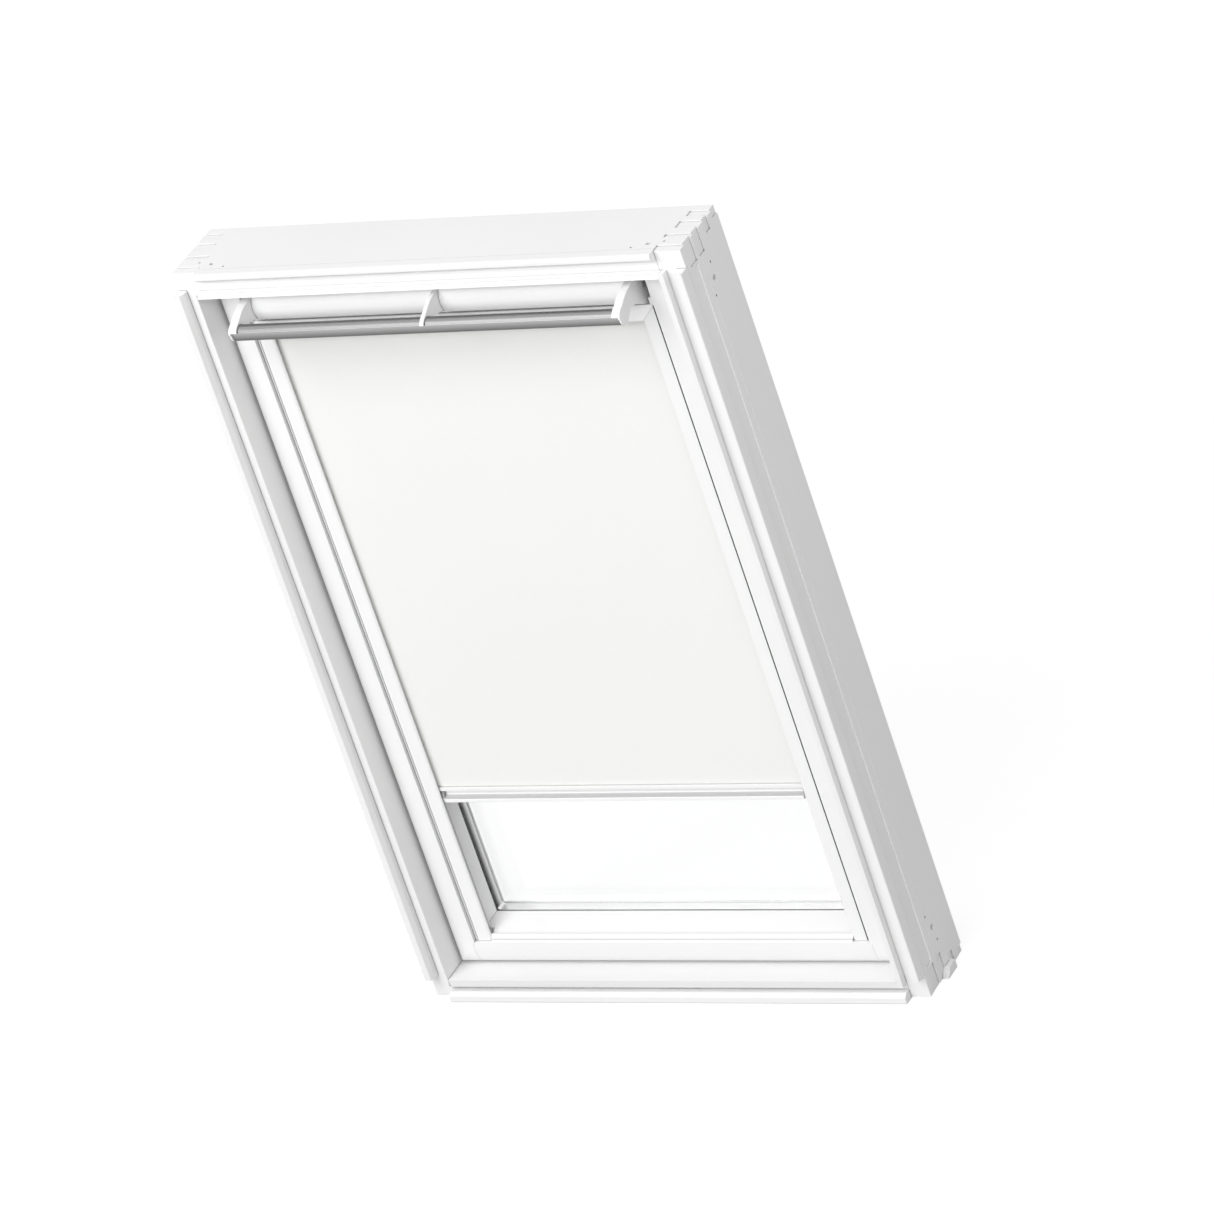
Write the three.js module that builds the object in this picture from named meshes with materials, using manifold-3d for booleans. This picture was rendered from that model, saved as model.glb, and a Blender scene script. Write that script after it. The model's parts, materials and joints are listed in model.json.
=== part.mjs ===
// A centre-pivot roof window with a roller blind in its sash, at real size in millimetres.
// X runs across the window, Y from the room to the outside, Z up along the window.
// Depths are measured from the room-side front of the frame, heights from its bottom face.
// The group is shifted at the end, so that the origin is the centre of the bottom face.
import * as THREE from 'three';
import { mergeVertices } from 'three/addons/utils/BufferGeometryUtils.js';
import Module from 'manifold-3d';

const wasm = await Module();
wasm.setup();

// Clearances and cuts
const seam = 0.3;
const snap = 1000;
const overrun = 3;
const facets = 32;
const bendSteps = 8;

// Outer frame
const frameWidth = 780;
const frameHeight = 1178;
const frameDepth = 127;
const noseInset = 36;
const noseOuterInset = 30;
const sillNoseOuterInset = 24.5;
const noseFront = 2;
const noseOuterFront = 4;
const grooveDepth = 16;
const rebateStep = 5;

// Lips on the frame's front edge
const lipWidth = 14;
const lipBack = 20;
const lipFlat = 10;
const lipChamferDepth = 7.2;
const lipRound = 1.8;
const headLipFront = 3;
const headLipFlat = 8;
const headLipRound = 4;
const headLipChamferDepth = 10;
const headLipEndInset = 40;
const sillLipEndInset = 30;
const sideLipTopInset = 29;
const sideLipBottomInset = 36.5;

// Finger joints in the frame's corners, in layers from the groove's floor to the back
const layerShares = [0, 0.11, 0.29, 0.36, 0.5, 0.65, 0.76, 0.88, 1];
const jambFingers = [40, 40, 34, 31];
const railFingers = [36, 36, 20, 12];
const jambTipRecess = 1.9;
const railTipRecess = 2.5;
const hornReach = 8;
const hornHeight = 12.7;
const hornFront = 59.5;
const hornBack = 88.7;
const hornSlope = 12.5;

// Routed groove, scribed line and screw holes in the frame's outer faces
const routedWidth = 20;
const routedFront = 26;
const routedDepth = 2.5;
const routedEndInset = 38;
const scribeDepthPlace = 58.5;
const scribeWidth = 1.2;
const scribeDeep = 0.6;
const holeRadius = 4;
const pilotRadius = 1.7;
const holeDeep = 12;
const holePitch = 22;
const topHoleInset = 55;
const topHoleDepth = 34;
const sideHoleInset = 77;
const sideHoleDepth = 72;
const pilotShifts = [4, -8.5];
const sidePilotShifts = [3, -8.5];

// Sash
const sashGap = 5;
const sashFront = 44;
const sashBack = 104;
const sashInnerFront = 33.6;
const sashFaceWidth = 37;
const sashFaceBulge = 3;
const sightInset = 59.7;
const glassLipBack = 77;
const glassRebateInset = 42.5;
const railEndInset = 34;
const topRailFront = 72;
const topRailHeight = 50;

// Glazing
const gasketThickness = 2;
const paneThickness = 4;
const cavityThickness = 16;
const glassEdgeGap = 1.5;
const spacerWidth = 7;
const spacerInset = 0.6;
const spacerRound = 6;

// Pivot hinges
const pivotPinRadius = 6;
const pivotClearance = 0.3;
const pivotPinReach = 13;
const pivotPlateLength = 70;
const pivotPlateWidth = 24;
const pivotPlateThickness = 2.2;

// Outer covers of folded sheet
const coverThickness = 1.4;
const frameCoverInset = 7;
const frameCoverLeg = 14;
const sashCoverOverlap = 16;
const sashCoverReach = 2.5;
const sashCoverLeg = 10;
const outerGasketThickness = 2.2;

// Sash seal in the gap between sash and frame
const sealWidth = 6;
const sealGrooveDepth = 2.5;
const sealReach = 4;
const sealNeck = 3;

// Ventilation flap, brackets and control bar
const flapAxisDepth = 47;
const flapAxisDrop = 67;
const flapRadius = 27;
const flapTopAngle = 95;
const flapBottomAngle = 222;
const flapEndGap = 24.3;
const plateRadius = 26.5;
const plateBack = 8;
const endBracketThickness = 12;
const middleBracketThickness = 6;
const bracketCap = 2.4;
const bracketLipReach = 3;
const bracketLipRise = 5.3;
const bracketTipAngle = 170;
const bracketHeelAngle = 325;
const bracketFootShare = 0.8;
const armReach = 67;
const armDrop = 9;
const barRadius = 11;
const barWall = 1.8;
const barUpperCrease = 156;
const barLowerCrease = 229;
const fullTurn = 360;
const outerArmShares = [
  [-0.3, 0.27], [-0.44, 0.268], [-0.61, 0.24], [-0.81, 0.175], [-0.96, 0.098],
  [-1.06, 0.06], [-1.15, 0], [-1.185, -0.06], [-1.19, -0.1],
];
const innerArmShares = [
  [-0.81, -0.18], [-0.74, -0.15], [-0.63, -0.14], [-0.52, -0.155], [-0.38, -0.205], [-0.25, -0.3],
];
const flapPinRadius = 3.6;
const flapPinClearance = 0.3;
const flapLugRadius = 9;
const flapLugThickness = 3;

// Lock and ventilation filter in the top rail
const lockWidth = 90;
const lockDepth = 16;
const lockHeight = 30;
const lockPlaceDepth = 88;
const boltWidth = 18;
const boltThickness = 5;
const boltShow = 3.6;
const boltLength = 16;
const strikeWidth = 60;
const strikeDepth = 20;
const strikeThickness = 1.6;
const filterLength = 480;
const filterWidth = 14;
const filterHeight = 10;
const filterPlaceHeight = 28;

// Blind
const channelGap = 5;
const channelWidth = 21.5;
const channelSlotReach = 14;
const channelFront = 38.2;
const channelEdge = 40.4;
const channelLipBack = 42;
const channelBack = 54.4;
const channelBackLip = 1.4;
const channelBackReach = 8.5;
const channelEdgeWidth = 6;
const channelGroove = 2;
const channelFinWidth = 2.4;
const channelFinFront = 39.8;
const channelWebBack = 43.5;
const casingDrop = 118;
const casingHeight = 24;
const casingWall = 1.4;
const casingFaceThickness = 3.2;
const casingBack = 71.6;
const casingOverlap = 1.7;
const casingEndThickness = 2.5;
const slotBack = 52;
const rollerDepth = 57.4;
const tubeRadius = 8;
const tubeWall = 1.2;
const rollRadius = 9.3;
const rollEndGap = 1.5;
const journalLength = 14;
const journalClearance = 0.3;
const fabricThickness = 0.6;
const fabricEndGap = 4.5;
const fabricDepth = 47.4;
const fabricTuck = 4;
const barTop = 329;
const barHeight = 22.5;
const barFlangeFront = 44;
const barBack = 51.5;
const barTopFlange = 5;
const barNoseFront = 41.5;
const barNoseRound = 0.5;
const coveBack = 49.5;
const coveCeilingDrop = 8;
const coveCornerDrop = 13.94;
const coveSlope = 0.39;
const coveRound = 3;
const barEndGap = 2.5;
const gripEndGap = 4.1;
const slotWidth = 1.2;
const barEndWidth = 8;
const barEndFront = 46;
const barEndToe = 43;
const fixingWidth = 6;
const fixingHeight = 11;
const fixingFront = 36;
const fixingDepth = 14;
const beadHeight = 8;
const beadFront = 37.5;
const beadRidgeDepth = 42.6;
const beadRidge = 1.4;
const beadBack = 46;

// Places that follow from the sizes above
const halfWidth = frameWidth / 2;
const noseHalfWidth = halfWidth - noseInset;
const sashHalfWidth = noseHalfWidth - sashGap;
const sashBottom = noseInset + sashGap;
const sashTop = frameHeight - sashBottom;
const pivotDepth = (sashFront + sashBack) / 2;
const pivotHeight = frameHeight / 2;
const layerEdges = layerShares.map((share) => grooveDepth + share * (frameDepth - grooveDepth));
const rebateStart = layerEdges[5];
const flapAxisHeight = frameHeight - flapAxisDrop;
const stileInner = sashHalfWidth - sashFaceWidth;
const railTop = sashBottom + sashFaceWidth;
const flapHalfLength = stileInner - flapEndGap;
const channelOuter = stileInner - channelGap;
const channelInner = channelOuter - channelWidth;
const channelWebInner = channelInner + channelSlotReach;
const casingBottom = frameHeight - casingDrop;
const casingTop = casingBottom + casingHeight;
const casingHalfLength = channelInner + casingOverlap;
const rollHalfLength = channelInner - rollEndGap;
const fabricHalfWidth = channelWebInner - fabricEndGap;
const barHalfLength = channelWebInner - barEndGap;
const gripHalfLength = channelInner - gripEndGap;
const glassHalfWidth = sashHalfWidth - glassRebateInset - glassEdgeGap;
const glassBottom = sashBottom + glassRebateInset + glassEdgeGap;
const topRailBottom = sashTop - topRailHeight;
const glassTop = topRailBottom + sightInset - glassRebateInset - glassEdgeGap;
const innerPaneFront = glassLipBack + gasketThickness;
const outerPaneFront = innerPaneFront + paneThickness + cavityThickness;
const glassBack = outerPaneFront + paneThickness;
const sightHalfWidth = sashHalfWidth - sightInset;
const sightBottom = sashBottom + sightInset;
const splayRun = sightInset - sashFaceWidth;
const splayDepth = glassLipBack - sashInnerFront;
const rollerHeight = casingBottom + casingHeight / 2;

// Materials
function finish(color, roughness, metalness = 0) {
  return { color, roughness, metalness };
}
const finishes = {
  whitePaint: finish(0xf4f4f2, 0.45),
  whitePlastic: finish(0xf1f1ef, 0.4),
  whiteMetal: finish(0xeeeeec, 0.35, 0.1),
  aluminium: finish(0xb4b5b6, 0.32, 0.9),
  steel: finish(0x8e9093, 0.4, 0.8),
  coverGrey: finish(0x55585a, 0.5, 0.4),
  black: finish(0x1b1c1d, 0.7),
  greyPlastic: finish(0x7c7d7f, 0.45),
  glass: finish(0xe8f2f0, 0.05),
  fabric: finish(0xf2f2ee, 0.9),
  filter: finish(0x77787a, 0.95),
};

// Solids: three.js makes every shape, and the library only joins and cuts them.
// Corners snap to a micron, so that faces meant to meet share one plane.
function solid(geometry) {
  const bare = geometry.index ? geometry.toNonIndexed() : geometry.clone();
  bare.deleteAttribute('normal');
  bare.deleteAttribute('uv');
  const merged = mergeVertices(bare, seam / 1000);
  return new wasm.Manifold(new wasm.Mesh({
    numProp: 3,
    vertProperties: merged.attributes.position.array.map((value) => Math.round(value * snap) / snap),
    triVerts: new Uint32Array(merged.index.array),
  }));
}

function geometryOf(body) {
  const mesh = body.getMesh();
  const geometry = new THREE.BufferGeometry();
  geometry.setAttribute('position', new THREE.BufferAttribute(new Float32Array(mesh.vertProperties), 3));
  geometry.setIndex(new THREE.BufferAttribute(new Uint32Array(mesh.triVerts), 1));
  const flat = geometry.toNonIndexed();
  flat.computeVertexNormals();
  return flat;
}

function join(...bodies) {
  return bodies.reduce((whole, body) => whole.add(body));
}

function cut(body, ...tools) {
  return tools.reduce((rest, tool) => rest.subtract(tool), body);
}

// A box between two corners, given in any order along X
function block(x0, x1, y0, y1, z0, z1) {
  const geometry = new THREE.BoxGeometry(Math.abs(x1 - x0), y1 - y0, z1 - z0);
  geometry.translate((x0 + x1) / 2, (y0 + y1) / 2, (z0 + z1) / 2);
  return solid(geometry);
}

// Outlines run along one axis: the two numbers of a point are the next two axes in turn
const alongX = new THREE.Matrix4().set(0, 0, 1, 0, 1, 0, 0, 0, 0, 1, 0, 0, 0, 0, 0, 1);
const alongY = new THREE.Matrix4().set(0, 1, 0, 0, 0, 0, 1, 0, 1, 0, 0, 0, 0, 0, 0, 1);
const alongZ = new THREE.Matrix4();

function run(axis, outline, from, to) {
  const points = outline.map(([u, v]) => new THREE.Vector2(u, v));
  const geometry = new THREE.ExtrudeGeometry(new THREE.Shape(points), {
    depth: Math.abs(to - from),
    bevelEnabled: false,
  });
  geometry.translate(0, 0, Math.min(from, to));
  geometry.applyMatrix4(axis);
  return solid(geometry);
}

function circle(cu, cv, radius, steps = facets) {
  return Array.from({ length: steps }, (_, i) => {
    const angle = (2 * Math.PI * i) / steps;
    return [cu + radius * Math.cos(angle), cv + radius * Math.sin(angle)];
  });
}

function arc(cu, cv, radius, fromDegrees, toDegrees, steps = bendSteps) {
  return Array.from({ length: steps + 1 }, (_, i) => {
    const angle = THREE.MathUtils.degToRad(fromDegrees + ((toDegrees - fromDegrees) * i) / steps);
    return [cu + radius * Math.cos(angle), cv + radius * Math.sin(angle)];
  });
}

function bend(start, control, end) {
  const curve = new THREE.QuadraticBezierCurve(
    new THREE.Vector2(...start),
    new THREE.Vector2(...control),
    new THREE.Vector2(...end),
  );
  return curve.getPoints(bendSteps).map((point) => [point.x, point.y]);
}

function spline(points, steps) {
  const curve = new THREE.SplineCurve(points.map((point) => new THREE.Vector2(...point)));
  return curve.getPoints(steps).map((point) => [point.x, point.y]);
}

// Profiles in insets from an outer edge and depths are placed on the four sides of the window
function onSide(side, outer) {
  return ([inset, depth]) => [side * (outer - inset), depth];
}
function onBottom(outer) {
  return ([inset, depth]) => [depth, outer + inset];
}
function onTop(outer) {
  return ([inset, depth]) => [depth, outer - inset];
}

const model = new THREE.Group();

function part(name, body, look) {
  const mesh = new THREE.Mesh(geometryOf(body), new THREE.MeshStandardMaterial(look));
  mesh.name = name;
  model.add(mesh);
}

const sides = [['left', -1], ['right', 1]];

// Outer frame: the side members run through, with the fingers of head and sill between theirs
function isJambLayer(i) {
  return i % 2 === 0;
}
function jambFinger(i) {
  return jambFingers[i / 2];
}
function railFinger(i) {
  return railFingers[(i - 1) / 2];
}
function frontJambFinger(i, bottom) {
  return bottom && i === 0 ? sillLipEndInset : jambFinger(i);
}
function innerInset(i) {
  return layerEdges[i] < rebateStart ? noseInset : noseInset - rebateStep;
}

// Space that the head or sill fills in one layer, between its outer face and its inner face
function railLayer(i, top, slack) {
  const [y0, y1] = [layerEdges[i] - slack, layerEdges[i + 1] + slack];
  const level = (inset) => (top ? frameHeight - inset : inset);
  const span = (half, from, to) => {
    const [low, high] = [level(from), level(to)].sort((a, b) => a - b);
    return block(-half, half, y0, y1, low, high);
  };
  if (isJambLayer(i)) {
    return span(halfWidth - frontJambFinger(i, !top) + slack, -slack, innerInset(i) + slack);
  }
  const tip = slack > 0 ? halfWidth + overrun : halfWidth - railTipRecess;
  const web = span(halfWidth - innerInset(i) + slack, -slack, innerInset(i) + slack);
  return join(web, span(tip, -slack, railFinger(i) + slack));
}

function noseOutline(outerInset) {
  return [
    [noseInset, noseFront],
    [noseInset, grooveDepth],
    [outerInset, grooveDepth],
    [outerInset, noseOuterFront],
  ];
}

function screwHoles(axis, places) {
  return places.map(([u, v, radius, from, to]) => run(axis, circle(u, v, radius, facets / 2), from, to));
}

function lipSeat(side, from, to) {
  return block(
    side * (halfWidth + overrun), side * (halfWidth - lipWidth - seam),
    grooveDepth - overrun, lipBack + seam, from - seam, to + seam,
  );
}

const sideLip = { from: sideLipBottomInset, to: frameHeight - sideLipTopInset };
const headLipHalf = halfWidth - headLipEndInset;
const sillLipHalf = halfWidth - sillLipEndInset;

function jamb(side) {
  const outer = side * halfWidth;
  const body = block(outer, side * noseHalfWidth, grooveDepth, frameDepth, 0, frameHeight);
  const wide = [];
  const gone = [];
  for (let i = 0; i < layerEdges.length - 1; i += 1) {
    gone.push(railLayer(i, true, seam), railLayer(i, false, seam));
    const isWide = (end) => isJambLayer(i) && frontJambFinger(i, !end) > noseInset;
    for (const top of [true, false].filter(isWide)) {
      wide.push(block(
        outer, side * (halfWidth - jambFinger(i)), layerEdges[i] + seam, layerEdges[i + 1],
        top ? frameHeight - noseInset : 0, top ? frameHeight : noseInset,
      ));
    }
  }
  const nose = run(
    alongZ, noseOutline(noseOuterInset).map(onSide(side, halfWidth)),
    sillNoseOuterInset, frameHeight - noseOuterInset,
  );
  const rebate = block(
    side * (noseHalfWidth - overrun), side * (noseHalfWidth + rebateStep),
    rebateStart, frameDepth + overrun, -overrun, frameHeight + overrun,
  );
  const tips = [
    block(outer, side * (noseHalfWidth - overrun - noseInset), 0, frameDepth + overrun,
      frameHeight - jambTipRecess, frameHeight + overrun),
    block(outer, side * (noseHalfWidth - overrun - noseInset), 0, frameDepth + overrun,
      -overrun, jambTipRecess),
  ];
  const routedDepthEnd = side * (halfWidth - routedDepth);
  const routedZ = [routedEndInset + routedWidth / 2, frameHeight - routedEndInset];
  const routed = join(
    block(side * (halfWidth + overrun), routedDepthEnd, routedFront, routedFront + routedWidth, ...routedZ),
    run(alongX, circle(routedFront + routedWidth / 2, routedZ[0], routedWidth / 2),
      routedDepthEnd, side * (halfWidth + overrun)),
  );
  const scribe = block(
    side * (halfWidth + overrun), side * (halfWidth - scribeDeep),
    scribeDepthPlace, scribeDepthPlace + scribeWidth, noseInset, frameHeight - noseInset,
  );
  const ends = [[sideHoleInset, -1], [frameHeight - sideHoleInset, 1]];
  const holes = ends.flatMap(([z, way]) => screwHoles(alongX, [
    [sideHoleDepth, z, holeRadius, side * (halfWidth - holeDeep), side * (halfWidth + overrun)],
    [sideHoleDepth + sidePilotShifts[0], z + way * holePitch, pilotRadius,
      side * (halfWidth - holeDeep), side * (halfWidth + overrun)],
    [sideHoleDepth + sidePilotShifts[1], z - way * holePitch, pilotRadius,
      side * (halfWidth - holeDeep), side * (halfWidth + overrun)],
  ]));
  const plateSeat = block(
    side * (noseHalfWidth - overrun), side * (noseHalfWidth + pivotPlateThickness + seam),
    pivotDepth - pivotPlateWidth / 2 - seam, pivotDepth + pivotPlateWidth / 2 + seam,
    pivotHeight - pivotPlateLength / 2 - seam, pivotHeight + pivotPlateLength / 2 + seam,
  );
  return cut(
    join(body, nose, ...wide), rebate, ...gone, ...tips, lipSeat(side, sideLip.from, sideLip.to),
    routed, scribe, ...holes, plateSeat,
  );
}

function frameRail(top) {
  const layers = [];
  for (let i = 0; i < layerEdges.length - 1; i += 1) {
    layers.push(railLayer(i, top, 0));
  }
  const place = top ? onTop(frameHeight) : onBottom(0);
  const outerInset = top ? noseOuterInset : sillNoseOuterInset;
  const nose = run(
    alongX, noseOutline(outerInset).map(place),
    seam - noseHalfWidth, noseHalfWidth - seam,
  );
  const lipHalf = (top ? headLipHalf : sillLipHalf) + seam;
  const [low, high] = [-overrun, lipWidth + seam].map((inset) => (top ? frameHeight - inset : inset));
  const seat = block(
    -lipHalf, lipHalf, grooveDepth - overrun, lipBack + seam, Math.min(low, high), Math.max(low, high),
  );
  const face = join(...layers, nose);
  if (!top) {
    const horns = sides.map(([, side]) => cut(run(alongX, [
      [hornFront, 0],
      [hornBack, 0],
      [hornBack, hornHeight],
      [hornFront + hornSlope, hornHeight],
    ], side * (halfWidth - railTipRecess - seam), side * (halfWidth + hornReach)), block(
      side * (halfWidth - noseInset), side * (halfWidth + seam),
      layerEdges[4], frameDepth, -overrun, noseInset,
    )));
    return cut(join(face, ...horns), seat);
  }
  const strikeSeat = block(
    -strikeWidth / 2 - seam, strikeWidth / 2 + seam,
    lockPlaceDepth - strikeDepth / 2 - seam, lockPlaceDepth + strikeDepth / 2 + seam,
    frameHeight - noseInset - overrun, frameHeight - noseInset + strikeThickness + seam,
  );
  const holes = sides.flatMap(([, side]) => {
    const x = side * (halfWidth - topHoleInset);
    const [from, to] = [frameHeight - holeDeep, frameHeight + overrun];
    return screwHoles(alongZ, [
      [x, topHoleDepth, holeRadius, from, to],
      [x + side * holePitch, topHoleDepth + pilotShifts[0], pilotRadius, from, to],
      [x - side * holePitch, topHoleDepth + pilotShifts[1], pilotRadius, from, to],
    ]);
  });
  return cut(face, seat, strikeSeat, ...holes);
}

for (const [name, side] of sides) {
  part(`frame_${name}_jamb`, jamb(side), finishes.whitePaint);
}
part('frame_head', frameRail(true), finishes.whitePaint);
part('frame_sill', frameRail(false), finishes.whitePaint);

// Lips: strips let into the frame's front edge, with a chamfer towards the groove
function lipOutline(front, round, flat, chamferDepth) {
  return [
    [0, lipBack],
    ...arc(round, front + round, round, 180, 270),
    [flat, front],
    [lipWidth, front + chamferDepth],
    [lipWidth, lipBack],
  ];
}
const plainLip = lipOutline(0, lipRound, lipFlat, lipChamferDepth);
const headLip = lipOutline(headLipFront, headLipRound, headLipFlat, headLipChamferDepth - headLipFront);

for (const [name, side] of sides) {
  part(
    `lip_${name}`, run(alongZ, plainLip.map(onSide(side, halfWidth)), sideLip.from, sideLip.to),
    finishes.whitePaint,
  );
}
part('lip_head', run(
  alongX, headLip.map(onTop(frameHeight)), -headLipHalf, headLipHalf,
), finishes.whitePaint);
part('lip_sill', run(alongX, plainLip.map(onBottom(0)), -sillLipHalf, sillLipHalf), finishes.whitePaint);

// Pivot hinges: a plate and pin in each side member, a socket plate in each stile
for (const [name, side] of sides) {
  const plate = block(
    side * noseHalfWidth, side * (noseHalfWidth + pivotPlateThickness),
    pivotDepth - pivotPlateWidth / 2, pivotDepth + pivotPlateWidth / 2,
    pivotHeight - pivotPlateLength / 2, pivotHeight + pivotPlateLength / 2,
  );
  const pin = run(
    alongX, circle(pivotDepth, pivotHeight, pivotPinRadius),
    side * (noseHalfWidth + seam), side * (sashHalfWidth + sashGap - pivotPinReach),
  );
  part(`pivot_pin_${name}`, join(plate, pin), finishes.steel);
  const socket = cut(
    block(
      side * (sashHalfWidth - pivotPlateThickness), side * sashHalfWidth,
      pivotDepth - pivotPlateWidth / 2, pivotDepth + pivotPlateWidth / 2,
      pivotHeight - pivotPlateLength / 2, pivotHeight + pivotPlateLength / 2,
    ),
    pivotBore(side),
  );
  part(`pivot_socket_${name}`, socket, finishes.steel);
}

function pivotBore(side) {
  return run(
    alongX, circle(pivotDepth, pivotHeight, pivotPinRadius + pivotClearance),
    side * (sashHalfWidth + sashGap), side * (noseHalfWidth - pivotPinReach - seam),
  );
}

// Striker plate in the head
part('strike_plate', block(
  -strikeWidth / 2, strikeWidth / 2, lockPlaceDepth - strikeDepth / 2, lockPlaceDepth + strikeDepth / 2,
  frameHeight - noseInset, frameHeight - noseInset + strikeThickness,
), finishes.steel);

// Folded covers on the frame's outer face, each an angle with its leg in the rebate
const frameCover = [
  [frameCoverInset, frameDepth + seam],
  [frameCoverInset, frameDepth + seam + coverThickness],
  [noseInset - rebateStep + seam + coverThickness, frameDepth + seam + coverThickness],
  [noseInset - rebateStep + seam + coverThickness, frameDepth - frameCoverLeg],
  [noseInset - rebateStep + seam, frameDepth - frameCoverLeg],
  [noseInset - rebateStep + seam, frameDepth + seam],
];
const coverCorner = noseInset - rebateStep + 2 * (seam + coverThickness);
for (const [name, side] of sides) {
  part(`frame_cover_${name}`, run(
    alongZ, frameCover.map(onSide(side, halfWidth)), coverCorner, frameHeight - coverCorner,
  ), finishes.coverGrey);
}
const coverHalf = halfWidth - frameCoverInset;
const legEnd = halfWidth - noseInset + rebateStep - seam - coverThickness;
function crossCover(place, z0, z1) {
  const whole = run(alongX, frameCover.map(place), -coverHalf, coverHalf);
  const ends = sides.map(([, side]) => block(
    side * (legEnd + seam + coverThickness), side * (coverHalf + overrun),
    frameDepth - frameCoverLeg - overrun, frameDepth + seam / 2, z0, z1,
  ));
  return cut(whole, ...ends);
}
part('frame_cover_top', crossCover(
  onTop(frameHeight), frameHeight - coverCorner - overrun, frameHeight,
), finishes.coverGrey);
part('frame_cover_bottom', crossCover(onBottom(0), 0, coverCorner + overrun), finishes.coverGrey);

// Sash section: a rounded room-side face, a splayed inner face and a rebate for the glass
const sashFace = bend(
  [0, sashFront],
  [sashFaceWidth / 4, sashInnerFront - sashFaceBulge / 2],
  [sashFaceWidth, sashInnerFront],
);
const sashSection = [
  ...sashFace,
  [sightInset, glassLipBack],
  [glassRebateInset, glassLipBack],
  [glassRebateInset, sashBack],
  [0, sashBack],
];

// Space beyond the 45 degree mitre of stile and bottom rail, above or below it
function mitreSide(side, above, slack) {
  const inner = sightInset + overrun;
  const shift = above ? slack : -slack;
  const at = (inset, extra) => [sashBottom + inset + extra, side * (sashHalfWidth - inset)];
  const far = above ? frameHeight : -frameHeight;
  return run(alongY, [
    at(railEndInset, shift),
    at(inner, shift),
    at(inner, far),
    at(railEndInset, far),
  ], sashInnerFront - overrun - sashFaceBulge, sashBack + overrun);
}

function sealGroove(rings) {
  const [inner, outer] = rings;
  const [y0, y1] = [pivotDepth - sealNeck / 2 - seam, pivotDepth + sealNeck / 2 + seam];
  const whole = block(-outer[0], outer[0], y0, y1, sashBottom - outer[1], sashTop + outer[1]);
  return cut(whole, block(
    -inner[0], inner[0], y0 - overrun, y1 + overrun, sashBottom - inner[1], sashTop + inner[1],
  ));
}
const grooveRing = sealGroove([
  [sashHalfWidth - sealGrooveDepth - seam, -sealGrooveDepth - seam],
  [sashHalfWidth + overrun, overrun],
]);

// Space in front of the rail's rounded face, which the stile's lower end follows
const railFaceFront = run(alongX, [
  ...sashFace.map(onBottom(sashBottom)),
  [sashInnerFront - overrun - sashFaceBulge, railTop],
  [sashInnerFront - overrun - sashFaceBulge, sashBottom - overrun],
  [sashFront, sashBottom - overrun],
], -halfWidth, halfWidth);

function stile(side) {
  const whole = run(alongZ, sashSection.map(onSide(side, sashHalfWidth)), sashBottom, sashTop);
  const top = block(
    side * stileInner, side * (sightHalfWidth - overrun),
    sashInnerFront - overrun - sashFaceBulge, sashBack + overrun, casingTop + seam, sashTop + overrun,
  );
  const channelSeat = block(
    side * stileInner, side * (sightHalfWidth - overrun),
    sashInnerFront - overrun, channelWebBack + seam, railTop, casingTop + overrun,
  );
  const foot = block(
    side * (sashHalfWidth - railEndInset), side * (sightHalfWidth - overrun),
    sashInnerFront - overrun - sashFaceBulge, sashBack + overrun, sashBottom - overrun,
    sashBottom + railEndInset,
  );
  const socketSeat = block(
    side * (sashHalfWidth - pivotPlateThickness - seam), side * (sashHalfWidth + overrun),
    pivotDepth - pivotPlateWidth / 2 - seam, pivotDepth + pivotPlateWidth / 2 + seam,
    pivotHeight - pivotPlateLength / 2 - seam, pivotHeight + pivotPlateLength / 2 + seam,
  );
  return cut(
    whole, top, foot, railFaceFront, channelSeat, mitreSide(side, false, -seam / 2), socketSeat,
    pivotBore(side), grooveRing,
  );
}

for (const [name, side] of sides) {
  part(`sash_${name}_stile`, stile(side), finishes.whitePaint);
}

const railHalf = sashHalfWidth - railEndInset - seam;
part('sash_bottom_rail', cut(
  run(alongX, sashSection.map(onBottom(sashBottom)), -railHalf, railHalf),
  mitreSide(-1, true, -seam / 2), mitreSide(1, true, -seam / 2), grooveRing,
  ...sides.map(([, side]) => block(
    side * (channelInner - seam), side * (stileInner + overrun),
    sashInnerFront - overrun, channelBack + seam, railTop, railTop + splayDepth,
  )),
), finishes.whitePaint);

// Top rail behind the flap, with a pocket for the lock and a seat for the filter
const topRailHalf = stileInner - seam;
const lockTop = sashTop - boltShow;
const lockPocket = block(
  -lockWidth / 2 - seam, lockWidth / 2 + seam,
  lockPlaceDepth - lockDepth / 2 - seam, lockPlaceDepth + lockDepth / 2 + seam,
  lockTop - lockHeight - seam, sashTop + overrun,
);
const filterBottom = topRailBottom + filterPlaceHeight;
part('sash_top_rail', cut(
  block(-topRailHalf, topRailHalf, topRailFront, sashBack, topRailBottom, sashTop),
  block(
    -topRailHalf - overrun, topRailHalf + overrun, glassLipBack, sashBack + overrun,
    topRailBottom - overrun, glassTop + glassEdgeGap,
  ),
  lockPocket,
  block(
    -filterLength / 2 - seam, filterLength / 2 + seam,
    topRailFront - overrun, topRailFront + filterWidth / 2,
    filterBottom - seam, filterBottom + filterHeight + seam,
  ),
  grooveRing,
), finishes.whitePaint);
part('vent_filter', block(
  -filterLength / 2, filterLength / 2,
  topRailFront - filterWidth / 2 + seam, topRailFront + filterWidth / 2 - seam,
  filterBottom, filterBottom + filterHeight,
), finishes.filter);

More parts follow.
